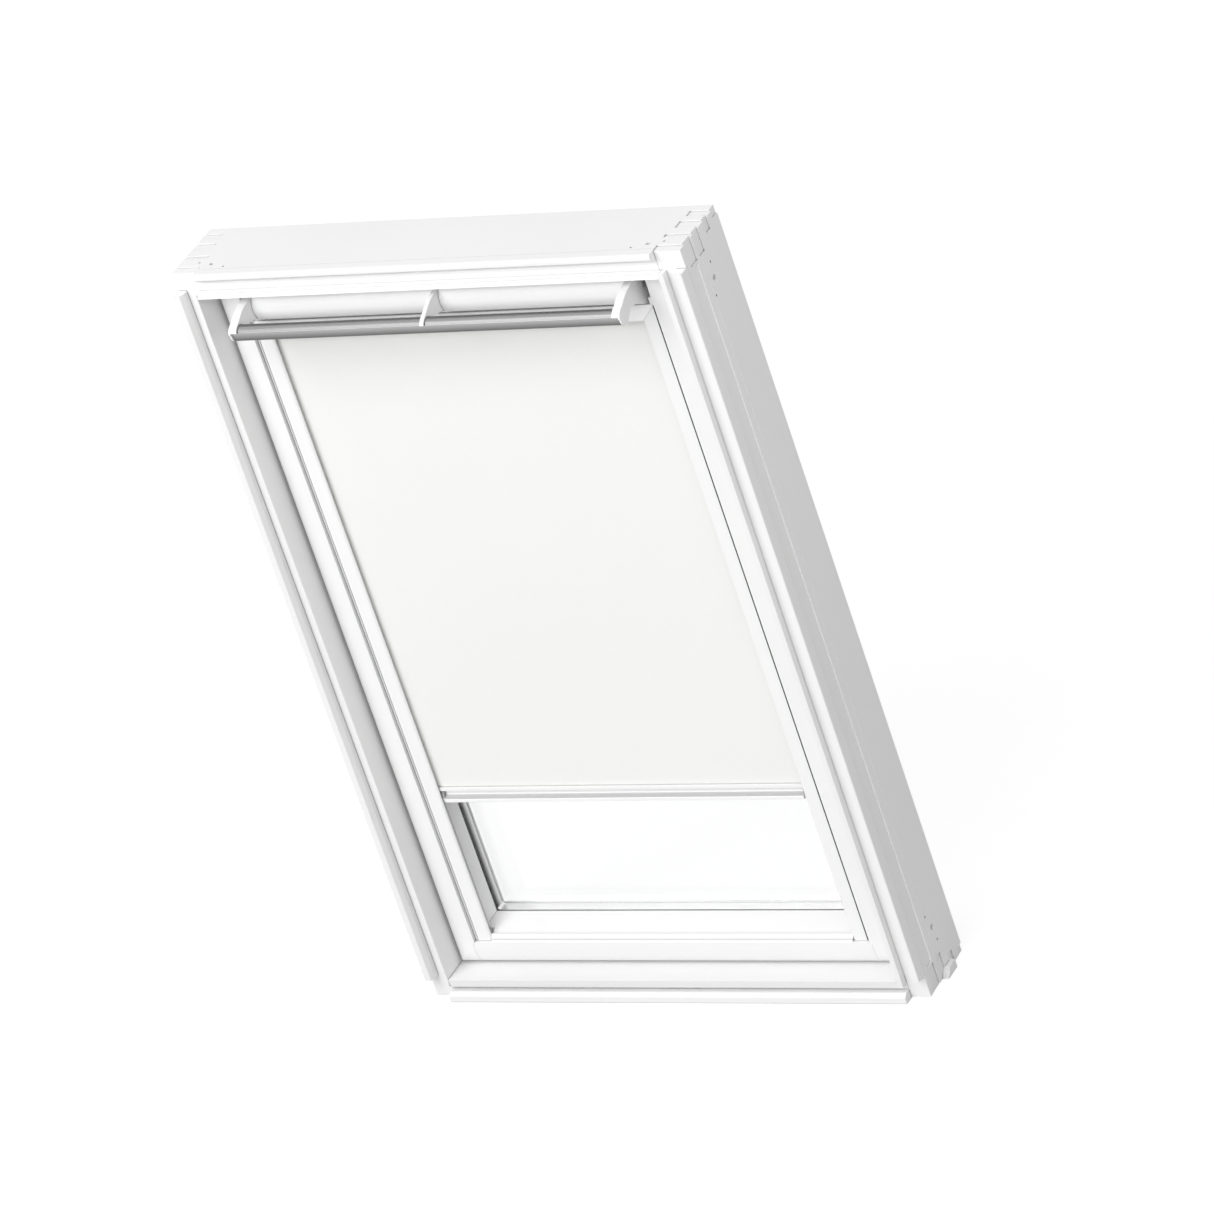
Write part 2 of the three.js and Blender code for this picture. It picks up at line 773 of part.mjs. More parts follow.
// Lock case and the bolt that slides in it
const boltSlot = [boltWidth / 2 + seam, boltThickness / 2 + seam];
part('lock_case', cut(
  block(
    -lockWidth / 2, lockWidth / 2, lockPlaceDepth - lockDepth / 2, lockPlaceDepth + lockDepth / 2,
    lockTop - lockHeight, lockTop,
  ),
  block(
    -boltSlot[0], boltSlot[0], lockPlaceDepth - boltSlot[1], lockPlaceDepth + boltSlot[1],
    lockTop - boltLength - boltShow * 2, lockTop + overrun,
  ),
), finishes.steel);
part('latch_bolt', block(
  -boltWidth / 2, boltWidth / 2, lockPlaceDepth - boltThickness / 2, lockPlaceDepth + boltThickness / 2,
  sashTop + boltShow - boltLength - boltShow, sashTop + boltShow,
), finishes.steel);

// Sealed glazing unit: two panes, a spacer, and gaskets against the sash and the covers
function pane(front) {
  return block(-glassHalfWidth, glassHalfWidth, front, front + paneThickness, glassBottom, glassTop);
}
function ring(front, back, half, low, high, width) {
  return cut(
    block(-half, half, front, back, low, high),
    block(-half + width, half - width, front - overrun, back + overrun, low + width, high - width),
  );
}
const lipCover = glassHalfWidth - sightHalfWidth;
part('inner_pane', pane(innerPaneFront), finishes.glass);
part('outer_pane', pane(outerPaneFront), finishes.glass);
const spacerHalf = sightHalfWidth + spacerInset;
const spacerLow = sightBottom - spacerInset;
const spacerHigh = topRailBottom + spacerInset;
const spacerHole = [
  ...arc(spacerHigh - spacerRound, spacerHalf - spacerRound, spacerRound, 0, 90),
  ...arc(spacerLow + spacerRound, spacerHalf - spacerRound, spacerRound, 90, 180),
  ...arc(spacerLow + spacerRound, spacerRound - spacerHalf, spacerRound, 180, 270),
  ...arc(spacerHigh - spacerRound, spacerRound - spacerHalf, spacerRound, 270, fullTurn),
];
part('glazing_spacer', cut(
  block(
    -spacerHalf - spacerWidth, spacerHalf + spacerWidth, innerPaneFront + paneThickness, outerPaneFront,
    spacerLow - spacerWidth, spacerHigh + spacerWidth,
  ),
  run(alongY, spacerHole, innerPaneFront, outerPaneFront + overrun),
), finishes.steel);
part('inner_gasket', ring(
  glassLipBack, innerPaneFront, glassHalfWidth, glassBottom, glassTop, lipCover - spacerInset,
), finishes.black);
part('outer_gasket', ring(
  glassBack, glassBack + outerGasketThickness, glassHalfWidth, glassBottom, glassTop,
  lipCover - spacerInset,
), finishes.black);

// Folded covers on the sash's outer face, mitred by butting between the side ones
const coverFront = glassBack + outerGasketThickness;
const sashCover = [
  [-sashCoverReach, coverFront - sashCoverLeg],
  [-sashCoverReach, coverFront + coverThickness],
  [sashCoverOverlap + glassRebateInset, coverFront + coverThickness],
  [sashCoverOverlap + glassRebateInset, coverFront],
  [coverThickness - sashCoverReach, coverFront],
  [coverThickness - sashCoverReach, coverFront - sashCoverLeg],
];
for (const [name, side] of sides) {
  part(`sash_cover_${name}`, run(
    alongZ, sashCover.map(onSide(side, sashHalfWidth)),
    sashBottom - sashCoverReach, sashTop + sashCoverReach,
  ), finishes.coverGrey);
}
const crossHalf = sashHalfWidth - sashCoverOverlap - glassRebateInset - seam;
part('sash_cover_top', run(
  alongX, sashCover.map(onTop(sashTop)), -crossHalf, crossHalf,
), finishes.coverGrey);
part('sash_cover_bottom', run(
  alongX, sashCover.map(onBottom(sashBottom)), -crossHalf, crossHalf,
), finishes.coverGrey);

// Seal around the sash's edge: a bulb on a neck that sits in the groove
function sealBand(y0, y1, inner, outer) {
  const whole = block(
    -sashHalfWidth - outer, sashHalfWidth + outer, y0, y1, sashBottom - outer, sashTop + outer,
  );
  return cut(whole, block(
    -sashHalfWidth - inner, sashHalfWidth + inner, y0 - overrun, y1 + overrun,
    sashBottom - inner, sashTop + inner,
  ));
}
const sealPivotGap = sides.map(([, side]) => block(
  side * (sashHalfWidth - overrun), side * (noseHalfWidth + overrun),
  pivotDepth - pivotPlateWidth, pivotDepth + pivotPlateWidth,
  pivotHeight - pivotPlateLength / 2 - seam, pivotHeight + pivotPlateLength / 2 + seam,
));
const sealLockGap = block(
  -lockWidth / 2 - seam, lockWidth / 2 + seam, pivotDepth - sealWidth, pivotDepth + sealWidth,
  sashTop - sealGrooveDepth - seam, sashTop - sealGrooveDepth,
);
const seal = cut(join(
  sealBand(pivotDepth - sealNeck / 2, pivotDepth + sealNeck / 2, -sealGrooveDepth, seam * 2),
  sealBand(pivotDepth - sealWidth / 2, pivotDepth + sealWidth / 2, seam, sealReach),
), sealLockGap);
const sealHalves = [
  ['upper', block(
    -frameWidth, frameWidth, 0, frameDepth, pivotHeight + pivotPlateLength / 2 + seam, frameHeight,
  )],
  ['lower', block(
    -frameWidth, frameWidth, 0, frameDepth, 0, pivotHeight - pivotPlateLength / 2 - seam,
  )],
];
for (const [name, half] of sealHalves) {
  part(`sash_seal_${name}`, cut(seal, ...sealPivotGap).intersect(half), finishes.black);
}

// Ventilation flap: two half-round covers between three brackets, turning about one axis
const flapSection = arc(
  flapAxisDepth, flapAxisHeight, flapRadius, flapTopAngle, flapBottomAngle, 3 * bendSteps,
);
const middleHalf = middleBracketThickness / 2;
for (const [name, side] of sides) {
  part(`vent_flap_${name}`, run(
    alongX, flapSection, side * (middleHalf + seam), side * flapHalfLength,
  ), finishes.whitePlastic);
}

// Brackets: a round plate at the axis, a curved arm, and a seat for the control bar
const barDepth = flapAxisDepth - armReach;
const barLevel = flapAxisHeight - armDrop;
function fromAxis([across, up]) {
  return [flapAxisDepth + across * armReach, flapAxisHeight + up * armReach];
}
function bracketOutline() {
  const rim = barRadius + seam;
  const outer = spline(outerArmShares.map(fromAxis), 3 * bendSteps);
  const inner = spline(innerArmShares.map(fromAxis), 3 * bendSteps);
  const cradle = arc(barDepth, barLevel, rim, bracketTipAngle, bracketHeelAngle, 2 * bendSteps);
  return [...outer, ...cradle, ...inner];
}
function plateOutline() {
  const edge = THREE.MathUtils.radToDeg(Math.acos(plateBack / plateRadius));
  return arc(flapAxisDepth, flapAxisHeight, plateRadius, edge, fullTurn - edge, 4 * bendSteps);
}
function bracket(from, to, cap) {
  const [low, high] = [Math.min(from, to), Math.max(from, to)];
  const arm = join(
    run(alongX, bracketOutline(), low, high),
    run(alongX, plateOutline(), low, high),
  );
  const seatEnds = [
    cap < 0 ? low + bracketCap : low - overrun,
    cap > 0 ? high - bracketCap : high + overrun,
  ];
  const rim = barRadius + seam;
  const seat = join(
    run(alongX, circle(barDepth, barLevel, rim), ...seatEnds),
    block(
      ...seatEnds, barDepth - 2 * rim, barDepth - bracketLipReach,
      barLevel - 2 * rim, barLevel + bracketLipRise,
    ),
    block(...seatEnds, barDepth - 2 * rim, barDepth + bracketFootShare * rim, barLevel - 2 * rim, barLevel),
  );
  const bore = run(
    alongX, circle(flapAxisDepth, flapAxisHeight, flapPinRadius + flapPinClearance),
    cap === 0 ? low - overrun : low + (cap < 0 ? -overrun : bracketCap),
    cap === 0 ? high + overrun : high + (cap > 0 ? overrun : -bracketCap),
  );
  return cut(arm, seat, bore);
}
const endFrom = flapHalfLength + seam;
const endTo = endFrom + endBracketThickness;
part('bracket_middle', bracket(-middleHalf, middleHalf, 0), finishes.whitePlastic);
for (const [name, side] of sides) {
  part(`bracket_${name}`, bracket(side * endFrom, side * endTo, side), finishes.whitePlastic);
}

// Control bar: a tube with a flat between two creases along its front, closed by the end brackets
const barEnd = endTo - bracketCap - seam;
function barOutline(radius) {
  return arc(barDepth, barLevel, radius, barLowerCrease - fullTurn, barUpperCrease, 3 * bendSteps);
}
part('control_bar', cut(
  run(alongX, barOutline(barRadius), -barEnd, barEnd),
  run(alongX, barOutline(barRadius - barWall), -barEnd - overrun, barEnd + overrun),
), finishes.aluminium);

// Flap pivots on the stiles
for (const [name, side] of sides) {
  part(`flap_pivot_${name}`, join(
    run(alongX, circle(flapAxisDepth, flapAxisHeight, flapLugRadius),
      side * (stileInner - flapLugThickness), side * (stileInner - seam)),
    run(alongX, circle(flapAxisDepth, flapAxisHeight, flapPinRadius),
      side * (endFrom + bracketCap + seam), side * (stileInner - flapLugThickness / 2)),
  ), finishes.black);
}

// Side channels of the blind, mitred at the top against the casing
function splayAt(depth) {
  return stileInner - ((depth - sashInnerFront) * splayRun) / splayDepth;
}
const channelSection = [
  [channelInner, channelLipBack],
  [channelInner, channelEdge],
  ...bend(
    [channelInner + channelEdgeWidth / 4, channelFront + (channelEdge - channelFront) / 3],
    [channelInner + channelEdgeWidth / 2, channelFront],
    [channelInner + channelEdgeWidth, channelFront],
  ),
  ...bend(
    [channelOuter - channelEdgeWidth / 4, channelFront],
    [channelOuter, channelFront],
    [channelOuter, channelFront + seam],
  ),
  [channelOuter, channelLipBack],
  [channelOuter + channelGroove, channelLipBack],
  [channelOuter + channelGroove, channelFinFront],
  [channelOuter + channelGroove + channelFinWidth, channelFinFront],
  [channelOuter + channelGroove + channelFinWidth, channelWebBack],
  [splayAt(channelWebBack) - 2 * seam, channelWebBack],
  [splayAt(channelBack) - 2 * seam, channelBack],
  [channelWebInner - channelBackReach, channelBack],
  [channelWebInner - channelBackReach, channelBack - channelBackLip],
  [channelWebInner, channelBack - channelBackLip],
  [channelWebInner, channelLipBack],
];
function splayHeight(depth) {
  return railTop + ((depth - sashInnerFront) * splayRun) / splayDepth;
}
for (const [name, side] of sides) {
  const whole = run(
    alongZ, channelSection.map(([x, y]) => [side * x, y]), railTop + seam, casingTop,
  );
  const above = run(alongY, [
    [casingBottom - seam - overrun, side * (channelInner - overrun)],
    [casingTop - seam + overrun, side * (channelInner + casingHeight + overrun)],
    [frameHeight, side * (channelInner + casingHeight + overrun)],
    [frameHeight, side * (channelInner - overrun)],
  ], channelFront - overrun, channelBack + overrun);
  part(`side_channel_${name}`, cut(whole, above), finishes.whitePlastic);
}

// Casing of the roller, with a mitred front face and end plates that carry the journals
const casingHalfFace = channelOuter;
const casingFront = channelFront;
const casingShell = [
  [casingFront, casingBottom],
  [casingFront, casingTop],
  [casingBack, casingTop],
  [casingBack, casingBottom],
  [slotBack, casingBottom],
  [slotBack, casingBottom + casingWall],
  [casingBack - casingWall, casingBottom + casingWall],
  [casingBack - casingWall, casingTop - casingWall],
  [casingFront + casingFaceThickness, casingTop - casingWall],
  [casingFront + casingFaceThickness, casingBottom],
];
const faceWing = run(alongY, [
  [casingBottom, channelInner],
  [casingTop, channelInner + casingHeight],
  [casingTop, -channelInner - casingHeight],
  [casingBottom, -channelInner],
], casingFront, casingFront + casingFaceThickness).intersect(block(
  -casingHalfFace, casingHalfFace, casingFront - overrun, channelLipBack, casingBottom, casingTop,
));
const mitreReach = casingHeight + overrun;
const casingMitres = sides.map(([, side]) => run(alongY, [
  [casingBottom - overrun, side * (channelInner - overrun)],
  [casingBottom + mitreReach, side * (channelInner + mitreReach)],
  [casingBottom - overrun, side * (channelInner + mitreReach)],
], casingFront - overrun, channelLipBack + seam));
part('blind_casing', cut(
  join(run(alongX, casingShell, -casingHalfLength, casingHalfLength), faceWing), ...casingMitres,
), finishes.whitePlastic);
for (const [name, side] of sides) {
  const from = casingHalfLength + seam;
  const to = from + casingEndThickness;
  const plate = block(
    side * from, side * to, channelLipBack + seam, casingBack,
    casingBottom, casingTop,
  );
  const journal = run(
    alongX, circle(rollerDepth, rollerHeight, tubeRadius - tubeWall - journalClearance),
    side * (rollHalfLength - journalLength), side * (from + casingEndThickness / 2),
  );
  const splayCut = run(alongZ, [
    [side * (splayAt(casingFront) - seam), casingFront],
    [side * (splayAt(casingBack + overrun) - seam), casingBack + overrun],
    [side * (channelOuter + overrun), casingBack + overrun],
    [side * (channelOuter + overrun), casingFront],
  ], casingBottom - overrun, casingTop + overrun);
  part(`casing_end_${name}`, cut(join(plate, journal), splayCut), finishes.whitePlastic);
}

// Roller tube and the fabric wound on it
part('roller_tube', cut(
  run(alongX, circle(rollerDepth, rollerHeight, tubeRadius), -rollHalfLength - seam, rollHalfLength + seam),
  run(alongX, circle(rollerDepth, rollerHeight, tubeRadius - tubeWall),
    -rollHalfLength - overrun, rollHalfLength + overrun),
), finishes.aluminium);
part('fabric_roll', cut(
  run(alongX, circle(rollerDepth, rollerHeight, rollRadius), -rollHalfLength + seam, rollHalfLength - seam),
  run(alongX, circle(rollerDepth, rollerHeight, tubeRadius + seam), -frameWidth, frameWidth),
), finishes.fabric);

// Blind cloth from the roller down to the bottom bar
part('blind_fabric', block(
  -rollHalfLength, rollHalfLength, fabricDepth, fabricDepth + fabricThickness,
  barTop - fabricTuck, rollerHeight,
).add(block(
  -fabricHalfWidth, fabricHalfWidth, fabricDepth, fabricDepth + fabricThickness,
  barTop - fabricTuck, casingBottom - seam,
)), finishes.fabric);

// Bottom bar: two flanges with a cove between them for the fingers
const barBottom = barTop - barHeight;
function shelfAt(depth) {
  return barTop - coveCornerDrop - coveSlope * (coveBack - depth);
}
function ceilingAt(depth) {
  const share = (depth - barFlangeFront) / (coveBack - barFlangeFront);
  return barTop - barTopFlange - share * (coveCeilingDrop - barTopFlange);
}
const barBody = [
  [barFlangeFront, barTop],
  [barBack, barTop],
  [barBack, barBottom],
  [barFlangeFront, barBottom],
  [barFlangeFront, shelfAt(barFlangeFront)],
  ...bend(
    [coveBack - coveRound, shelfAt(coveBack - coveRound)],
    [coveBack, shelfAt(coveBack)],
    [coveBack, shelfAt(coveBack) + coveRound],
  ),
  [coveBack, ceilingAt(coveBack)],
  [barFlangeFront, ceilingAt(barFlangeFront)],
];
const barNose = [
  [barFlangeFront + barNoseRound, barBottom],
  [barFlangeFront + barNoseRound, shelfAt(barFlangeFront + barNoseRound)],
  [barNoseFront + barNoseRound, shelfAt(barNoseFront + barNoseRound)],
  [barNoseFront, shelfAt(barNoseFront) - barNoseRound],
  [barNoseFront, barBottom + barNoseRound],
  [barNoseFront + barNoseRound, barBottom],
];
const clothSlot = block(
  -barHalfLength - overrun, barHalfLength + overrun, fabricDepth - seam, fabricDepth + slotWidth,
  barTop - fabricTuck - seam, barTop + overrun,
);
part('blind_bar', cut(join(
  run(alongX, barBody, -barHalfLength, barHalfLength),
  run(alongX, barNose, -gripHalfLength, gripHalfLength),
), clothSlot), finishes.whiteMetal);
const barEndOutline = [
  [barEndToe, shelfAt(barEndToe) + seam],
  [coveBack - coveRound, shelfAt(coveBack - coveRound) + seam],
  [coveBack - seam, shelfAt(coveBack) + coveRound],
  [coveBack - seam, ceilingAt(coveBack) - seam],
  [barEndFront, ceilingAt(barEndFront) - seam],
];
for (const [name, side] of sides) {
  part(`bar_end_${name}`, run(
    alongX, barEndOutline, side * (gripHalfLength + seam), side * (gripHalfLength + seam + barEndWidth),
  ), finishes.greyPlastic);
}

// Fixings that hold the casing to the stiles, and the bead on the bottom rail
for (const [name, side] of sides) {
  part(`blind_fixing_${name}`, block(
    side * (stileInner - seam - fixingWidth), side * (stileInner - seam),
    fixingFront, fixingFront + fixingDepth, casingTop + 2 * seam, casingTop + 2 * seam + fixingHeight,
  ), finishes.whitePlastic);
}
const beadTop = railTop + beadHeight;
part('bottom_bead', run(alongX, [
  [beadFront, splayHeight(beadFront) + seam],
  ...arc(beadRidgeDepth, beadTop, beadRidge, 180, 0),
  [beadBack, splayHeight(beadBack) + seam],
], seam - channelInner, channelInner - seam), finishes.whitePlastic);

model.position.y = -frameDepth / 2;

export default model;
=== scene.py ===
import json
import math

import bmesh
import bpy
from mathutils import Matrix, Vector


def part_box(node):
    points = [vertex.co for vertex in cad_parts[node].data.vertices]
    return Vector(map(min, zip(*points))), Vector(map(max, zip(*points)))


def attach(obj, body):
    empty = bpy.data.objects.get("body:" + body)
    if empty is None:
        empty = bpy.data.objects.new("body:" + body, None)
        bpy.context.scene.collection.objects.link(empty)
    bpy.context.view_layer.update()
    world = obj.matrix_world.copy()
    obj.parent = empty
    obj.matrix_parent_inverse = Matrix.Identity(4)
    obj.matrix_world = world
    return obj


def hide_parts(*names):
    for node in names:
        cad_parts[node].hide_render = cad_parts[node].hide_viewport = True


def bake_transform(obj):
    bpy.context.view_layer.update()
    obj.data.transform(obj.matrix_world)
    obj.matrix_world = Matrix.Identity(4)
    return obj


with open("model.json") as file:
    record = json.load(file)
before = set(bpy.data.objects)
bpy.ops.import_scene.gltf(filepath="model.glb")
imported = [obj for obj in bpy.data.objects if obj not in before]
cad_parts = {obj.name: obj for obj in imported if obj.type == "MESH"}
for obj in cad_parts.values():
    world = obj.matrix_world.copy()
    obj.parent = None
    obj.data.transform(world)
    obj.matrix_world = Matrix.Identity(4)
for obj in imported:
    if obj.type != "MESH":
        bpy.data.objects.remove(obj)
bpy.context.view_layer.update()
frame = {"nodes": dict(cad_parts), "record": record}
nodes = frame["nodes"]
record = frame["record"]
MM = 0.001
FRONT = -63.5 * MM  # the frame's face on the room side, in Y

LENS = 259.12
SENSOR_WIDTH = 36.0
CAMERA_RIGHT = Vector((0.86166, 0.41531, -0.29164))
CAMERA_UP = Vector((0.01925, 0.54752, 0.83657))
CAMERA_BACK = Vector((0.50711, -0.72646, 0.46378))
CAMERA_PLACE = Vector((5.9876, -8.42067 + FRONT, 6.02128))


def add_object(name, data):
    piece = bpy.data.objects.new(name, data)
    bpy.context.scene.collection.objects.link(piece)
    return piece


def add_camera():
    data = bpy.data.cameras.new("camera")
    data.lens = LENS
    data.sensor_width = SENSOR_WIDTH
    data.sensor_fit = "HORIZONTAL"
    data.clip_start = 0.5
    data.clip_end = 60.0
    camera = add_object("camera", data)
    camera.matrix_world = Matrix((
        *zip(CAMERA_RIGHT, CAMERA_UP, CAMERA_BACK, CAMERA_PLACE),
        (0, 0, 0, 1),
    ))
    bpy.context.scene.camera = camera
    bpy.context.scene.view_settings.view_transform = "Standard"


add_camera()


def grey(value, warm=0.0):
    return (value + warm, value, value - warm, 1.0)


def ray_is(tree, first, *others):
    """1 on rays of any of the kinds named, and 0 on all others."""
    path = tree.nodes.new("ShaderNodeLightPath")
    found = path.outputs[first]
    for kind in others:
        either = tree.nodes.new("ShaderNodeMath")
        either.operation = "MAXIMUM"
        tree.links.new(found, either.inputs[0])
        tree.links.new(path.outputs[kind], either.inputs[1])
        found = either.outputs["Value"]
    return found


class Nodes:
    """A short way to write a material's node tree."""

    def __init__(self, name):
        self.material = bpy.data.materials.new(name)
        self.material.use_nodes = True
        self.tree = self.material.node_tree
        self.shader = self.tree.nodes["Principled BSDF"]
        self.output = self.tree.nodes["Material Output"]

    def add(self, kind, **values):
        node = self.tree.nodes.new(kind)
        for key, value in values.items():
            setattr(node, key, value)
        return node

    def link(self, source, target):
        self.tree.links.new(source, target)

    def feed(self, name, source):
        self.link(source, self.shader.inputs[name])

    def set(self, **values):
        for key, value in values.items():
            self.shader.inputs[key.replace("_", " ")].default_value = value

    def coords(self, scale=(1, 1, 1)):
        place = self.add("ShaderNodeTexCoord")
        mapping = self.add("ShaderNodeMapping")
        mapping.inputs["Scale"].default_value = scale
        self.link(place.outputs["Object"], mapping.inputs["Vector"])
        return mapping.outputs["Vector"]

    def noise(self, scale, detail=4.0, roughness=0.55, stretch=(1, 1, 1)):
        node = self.add("ShaderNodeTexNoise")
        node.inputs["Scale"].default_value = scale
        node.inputs["Detail"].default_value = detail
        node.inputs["Roughness"].default_value = roughness
        self.link(self.coords(stretch), node.inputs["Vector"])
        return node.outputs["Fac"]

    def ramp(self, value, stops):
        node = self.add("ShaderNodeValToRGB")
        element = node.color_ramp.elements
        element[0].position, element[0].color = stops[0]
        element[1].position, element[1].color = stops[-1]
        for position, color in stops[1:-1]:
            element.new(position).color = color
        self.link(value, node.inputs["Fac"])
        return node.outputs["Color"]

    def between(self, value, low, high, start=0.2, end=0.8):
        """Greys from low to high as the value goes from start to end."""
        return self.ramp(value, [(start, grey(low)), (end, grey(high))])

    def corner_shade(self, color, reach, depth):
        """Darkens the colour in joints and inner corners with painted shade, from ambient
        occlusion.
        """
        nook = self.add("ShaderNodeAmbientOcclusion", samples=8, only_local=False)
        nook.inputs["Distance"].default_value = reach
        stops = [(0.05, grey(depth)), (0.45, grey(0.5 + depth / 2)), (0.72, grey(1.0))]
        return self.times(color, self.ramp(nook.outputs["AO"], stops))

    def along_axis(self, axis, low, high, stops):
        """Grey values laid out along one axis of the piece, from low to high in metres."""
        parts = self.add("ShaderNodeSeparateXYZ")
        self.link(self.coords(), parts.inputs["Vector"])
        level = self.add("ShaderNodeMapRange")
        level.inputs["From Min"].default_value = low
        level.inputs["From Max"].default_value = high
        self.link(parts.outputs[axis], level.inputs["Value"])
        return self.ramp(level.outputs["Result"], [(at, grey(value)) for at, value in stops])

    def times(self, first, second):
        mix = self.add("ShaderNodeMix", data_type="RGBA", blend_type="MULTIPLY")
        mix.inputs["Factor"].default_value = 1.0
        self.link(first, mix.inputs["A"])
        self.link(second, mix.inputs["B"])
        return mix.outputs["Result"]

    def bump(self, height, strength, distance, normal=None):
        node = self.add("ShaderNodeBump")
        node.inputs["Strength"].default_value = strength
        node.inputs["Distance"].default_value = distance
        self.link(height, node.inputs["Height"])
        if normal is not None:
            self.link(normal, node.inputs["Normal"])
        return node.outputs["Normal"]


def stretched(axis, across, along):
    """Noise scales that draw the pattern out along one axis."""
    scale = [across, across, across]
    scale["XYZ".index(axis)] = along
    return scale


def white_paint(name, base, along, nook=0.25):
    """Sprayed paint on timber: a fine orange peel, faint grain along the piece, and painted shade
    in joints and inner corners.
    """
    m = Nodes(name)
    m.set(Roughness=0.42, Specular_IOR_Level=0.4)
    grain = m.noise(6.0, 5.0, 0.6, stretched(along, 55.0, 2.2))
    tone = m.noise(3.5, 3.0)
    peel = m.noise(900.0, 2.0)
    color = m.ramp(tone, [(0.3, grey(base - 0.012)), (0.7, grey(base + 0.008, 0.001))])
    m.feed("Base Color", m.corner_shade(color, 5 * MM, nook))
    m.feed("Roughness", m.between(peel, 0.36, 0.5))
    fine = m.bump(peel, 0.10, 0.2 * MM)
    m.feed("Normal", m.bump(grain, 0.12, 0.3 * MM, fine))
    return m.material


def white_plastic(name, base, rough=0.34, nook=0.25, reach=3 * MM, bands=None):
    """Moulded or extruded plastic with a faint texture and painted shade in inner corners; bands
    paint shade along an axis.
    """
    m = Nodes(name)
    m.set(Specular_IOR_Level=0.5)
    spots = m.noise(1400.0, 2.0)
    color = m.between(m.noise(5.0, 2.0), base - 0.01, base + 0.006, 0.3, 0.7)
    if bands:
        color = m.times(color, m.along_axis(*bands))
    m.feed("Base Color", m.corner_shade(color, reach, nook))
    m.feed("Roughness", m.between(spots, rough - 0.05, rough + 0.08))
    m.feed("Normal", m.bump(spots, 0.06, 0.1 * MM))
    return m.material


def brushed(name, base, rough, along="X", bands=None):
    """Metal with fine lines along one axis; bands paint reflections along an axis."""
    m = Nodes(name)
    m.set(Metallic=1.0)
    lines = m.noise(2.0, 4.0, 0.6, stretched(along, 700.0, 6.0))
    color = m.between(m.noise(6.0, 2.0), base * 0.96, base * 1.03, 0.3, 0.7)
    if bands:
        color = m.times(color, m.along_axis(*bands))
    m.feed("Base Color", color)
    m.feed("Roughness", m.between(lines, rough - 0.06, rough + 0.08))
    m.feed("Normal", m.bump(lines, 0.12, 0.1 * MM))
    return m.material


def spacer_edge(name, bands):
    """The spacer's upright walls, dark at the front for the sealant and as painted dark
    reflection, bright metal behind.
    """
    m = Nodes(name)
    m.set(Metallic=0.6)
    lines = m.noise(2.0, 3.0, stretch=stretched("Z", 300.0, 4.0))
    m.feed("Base Color", m.along_axis(*bands))
    m.feed("Roughness", m.between(lines, 0.4, 0.52))
    m.feed("Normal", m.bump(lines, 0.1, 0.1 * MM))
    return m.material


def coated_sheet(name, base):
    """Grey lacquer on folded sheet."""
    m = Nodes(name)
    m.set(Metallic=0.35)
    cells = m.noise(650.0, 3.0)
    tone = m.noise(4.0, 3.0)
    m.feed("Base Color", m.between(tone, base * 0.92, base * 1.08, 0.3, 0.7))
    m.feed("Roughness", m.between(cells, 0.42, 0.6))
    m.feed("Normal", m.bump(cells, 0.08, 0.2 * MM))
    return m.material


def rubber(name, base):
    m = Nodes(name)
    m.set(Specular_IOR_Level=0.3)
    cells = m.noise(900.0, 3.0)
    m.feed("Base Color", m.between(cells, base * 0.8, base * 1.3))
    m.feed("Roughness", m.between(cells, 0.6, 0.8))
    m.feed("Normal", m.bump(cells, 0.2, 0.2 * MM))
    return m.material


def foam(name, base):
    m = Nodes(name)
    m.set(Roughness=0.95)
    cells = m.noise(500.0, 4.0, 0.7)
    m.feed("Base Color", m.between(cells, base * 0.5, base * 1.4, 0.35, 0.65))
    m.feed("Normal", m.bump(cells, 0.8, 1.0 * MM))
    return m.material


def clear_glass(name):
    """Float glass with faint waviness; light on its way to other things passes straight."""
    m = Nodes(name)
    m.set(Roughness=0.0, IOR=1.45, Transmission_Weight=1.0)
    wave = m.noise(2.5, 1.0)
    tints = [(0.3, (0.995, 0.999, 0.997, 1)), (0.7, (0.997, 1.0, 0.999, 1))]
    m.feed("Base Color", m.ramp(wave, tints))
    m.feed("Normal", m.bump(wave, 0.01, 0.2 * MM))
    clear = m.add("ShaderNodeBsdfTransparent")
    clear.inputs["Color"].default_value = (0.985, 0.99, 0.988, 1)
    mix = m.add("ShaderNodeMixShader")
    m.link(ray_is(m.tree, "Is Shadow Ray", "Is Diffuse Ray"), mix.inputs["Fac"])
    m.link(m.shader.outputs["BSDF"], mix.inputs[1])
    m.link(clear.outputs["BSDF"], mix.inputs[2])
    m.link(mix.outputs["Shader"], m.output.inputs["Surface"])
    return m.material


def woven(name, dark, light):
    """Plain weave of fine off-white threads, with slubs, and painted shade where it meets other
    parts.
    """
    m = Nodes(name)
    m.set(Roughness=0.85, Specular_IOR_Level=0.2, Sheen_Weight=0.15, Sheen_Roughness=0.5)
    threads = m.add("ShaderNodeMath", operation="MULTIPLY")
    for slot, direction in enumerate("XZ"):
        wave = m.add(
            "ShaderNodeTexWave", wave_type="BANDS", bands_direction=direction, wave_profile="SIN",
        )
        wave.inputs["Scale"].default_value = 360.0
        wave.inputs["Distortion"].default_value = 0.6
        wave.inputs["Detail"].default_value = 1.0
        m.link(m.coords(), wave.inputs["Vector"])
        m.link(wave.outputs["Fac"], threads.inputs[slot])
    slub = m.between(m.noise(4.0, 3.0, stretch=(30, 30, 400)), 0.975, 1.0, 0.3, 0.7)
    tone = m.ramp(m.noise(2.5, 3.0), [(0.3, dark), (0.7, light)])
    m.feed("Base Color", m.corner_shade(m.times(tone, slub), 5 * MM, 0.35))
    m.feed("Normal", m.bump(threads.outputs["Value"], 0.35, 0.2 * MM))
    return m.material


def bands_up(node, stops):
    """Tones from a piece's lower edge to its upper one."""
    low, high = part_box(node)
    return ("Z", low.z, high.z, stops)
